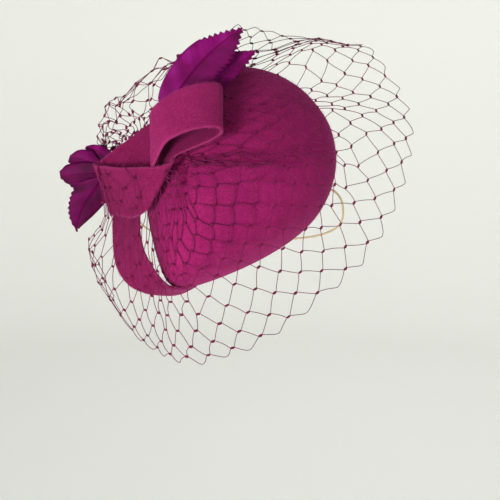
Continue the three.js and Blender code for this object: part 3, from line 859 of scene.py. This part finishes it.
def knot_bars(knots, round_fan, normals, rng):
    """The tied knots: short bars that lie round the fan, thick in the middle."""
    t = np.linspace(-1, 1, NET["steps"])
    bars = knots[:, None] + round_fan[:, None] * (t * NET["knot"][0] / 2)[None, :, None]
    thick = NET["knot"][1] / 2 * np.sqrt(np.clip(1 - t ** 4, 0.03, 1))
    thick = thick[None, :] * rng.uniform(0.85, 1.15, (len(bars), 1))
    return tubes(bars, thick, 7, np.broadcast_to(normals[:, None], bars.shape), flat=0.75)


def make_net(material):
    """Diamond net. Knots stand where half column and row are both even or both odd; from each, two threads
    go inwards to its neighbours. Row 0 is the free edge, where the threads turn without a knot."""
    rng = np.random.default_rng(11)
    count = 2 * NET["cells"] + 2 * NET["back"] + 1
    i, j = np.meshgrid(np.arange(count), np.arange(NET["rows"]), indexing="ij")
    column = i / 2
    level = from_table(LEVEL, column, j)
    cell = np.clip(column + from_table(SLIP, column, j), 0, None)
    hidden = level <= np.interp(column, [4, 5, 7, 8, 10], [NET["start"], 0.2, 0.3, 0.2, NET["start"]])
    knots = crumpled(net_surface(cell, level), column, level, rng)
    knots = over_crown(tucked(knots, column, level, cell, hidden), NET["lift"] + 0.3)
    here = ((i + j) % 2 == 0) & ~hidden
    runs = thread_runs(here)
    normals = grid_normals(knots)
    round_fan = unit(np.gradient(knots, axis=0))
    normal = unit(normals[runs[:, 0], runs[:, 1]] + normals[runs[:, 2], runs[:, 3]] + 1e-6)
    path = thread_paths(knots, runs, round_fan, normal, rng)
    radius = np.full(path.shape[:2], NET["thread"] / 2)
    points, wall, caps = tubes(path, radius, 5, np.broadcast_to(normal[:, None], path.shape))
    tied = here & (j > 0)
    bars, bar_wall, bar_caps = knot_bars(knots[tied], round_fan[tied], normals[tied], rng)
    both = np.concatenate([points, bars])
    faces = mixed_faces(wall, caps) + mixed_faces(bar_wall + len(points), bar_caps + len(points))
    knot = np.concatenate([np.zeros(len(points)), np.ones(len(bars))])
    piece = make_piece("net_veil", both, faces, material, {"knot": knot}, weld=False)
    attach(piece, "root")
    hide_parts("veil")


# ---- elastic ----
def make_elastic(material):
    """The elastic: one smooth curve through its route."""
    curve = bpy.data.curves.new("elastic_cord", "CURVE")
    curve.dimensions = "3D"
    route = along_rows(ELASTIC_ROUTE, np.linspace(0, 1, 121)) * MM
    line = curve.splines.new("POLY")
    line.points.add(len(route) - 1)
    line.points.foreach_set("co", np.c_[route, np.ones(len(route))].ravel())
    curve.bevel_depth = ELASTIC_DIAMETER / 2 * MM
    curve.bevel_resolution = 3
    curve.use_fill_caps = True
    curve.materials.append(material)
    piece = bpy.data.objects.new("elastic_cord", curve)
    bpy.context.collection.objects.link(piece)
    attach(piece, "root")
    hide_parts("head_elastic")


# ---- stage ----
def make_stage():
    """A round cove: a flat floor that sweeps up into a wall on every side."""
    radius, bend, sides = STAGE["radius"], STAGE["bend"], STAGE["sides"]
    turn = np.linspace(0, 2 * np.pi, sides, endpoint=False)
    sweep = np.linspace(0, np.pi / 2, 24)
    reach = np.concatenate([[0.001, radius * 0.5], radius + bend * np.sin(sweep), [radius + bend]])
    height = np.concatenate([[0, 0], bend * (1 - np.cos(sweep)), [STAGE["wall"]]]) + STAGE["floor"]
    points = np.stack(np.broadcast_arrays(reach[:, None] * np.cos(turn), reach[:, None] * np.sin(turn),
                                          height[:, None]), -1)
    faces = grid_faces(len(reach), sides, flip=True, ring=True).tolist()
    cove = make_piece("studio_cove", points, faces, plain_paper("warm white studio paper", "#f4f5f1"))


def area_light(name, place, aim, size, power, color=(1, 1, 1)):
    """A square soft light aimed at a point, in metres."""
    data = bpy.data.lights.new(name, "AREA")
    data.size = size
    data.energy = power
    data.color = color
    lamp = bpy.data.objects.new(name, data)
    bpy.context.collection.objects.link(lamp)
    lamp.location = place
    lamp.rotation_euler = (Vector(aim) - Vector(place)).to_track_quat("-Z", "Y").to_euler()
    lamp.visible_camera = False


def make_light():
    """A soft key from the left, a weak fill from the right, a lamp on the wall and even light all round."""
    area_light("key", (-1.0, -1.9, -0.1), (0, 0, -0.02), 0.6, 56, (1.0, 0.985, 0.96))
    area_light("fill", (1.5, -1.6, 0.2), (0, 0, 0), 1.4, 7, (0.95, 0.97, 1.0))
    area_light("wall", (0.6, 1.0, 1.5), (0.3, 3, -0.1), 1.0, 20)
    world = bpy.data.worlds.new("studio")
    bpy.context.scene.world = world
    world.use_nodes = True
    world.node_tree.nodes["Background"].inputs["Color"].default_value = linear("#fbfbfb")
    world.node_tree.nodes["Background"].inputs["Strength"].default_value = 0.36
    bpy.context.scene.view_settings.view_transform = "Standard"


# ---- assembly ----
# the strip and loop felts are the crown's felt in darker tones: painted shade on the bow
crown_felt = wool_felt("blocked wool felt", "#6b1143", "#861653", "#a12867")
strip_felt = wool_felt("cut wool felt in painted shade", "#550d34", "#6d1341", "#852052")
loop_felt = wool_felt("pressed wool felt in painted shade", "#641341", "#7f194f", "#992a61", ridged=True)
feather = dyed_feather()

make_elastic(covered_elastic())
make_crown(crown_felt)
# the last value of each row darkens the strip's inner face as painted shade; only the loop gets it
for piece_name, cad_node, shape, felt, seed_number, press, darker in (
        ("band_felt", "rim_band", ruled(BAND_TOP, BAND_FOOT), strip_felt, 21, None, 0.0),
        ("collar_felt", "collar", ruled(COLLAR_TOP, COLLAR_FOOT), strip_felt, 31, None, 0.0),
        ("loop_felt", "loop", loop_surface, loop_felt, 41, loop_ridges, 0.5)):
    make_strip(piece_name, cad_node, shape, path_length(shape, 0.5), path_width(shape), felt,
               seed_number, press, darker)
for number, plume in enumerate(PLUMES):
    make_plume(plume, feather, 50 + number)
make_net(veiling_thread())
make_stage()
make_light()
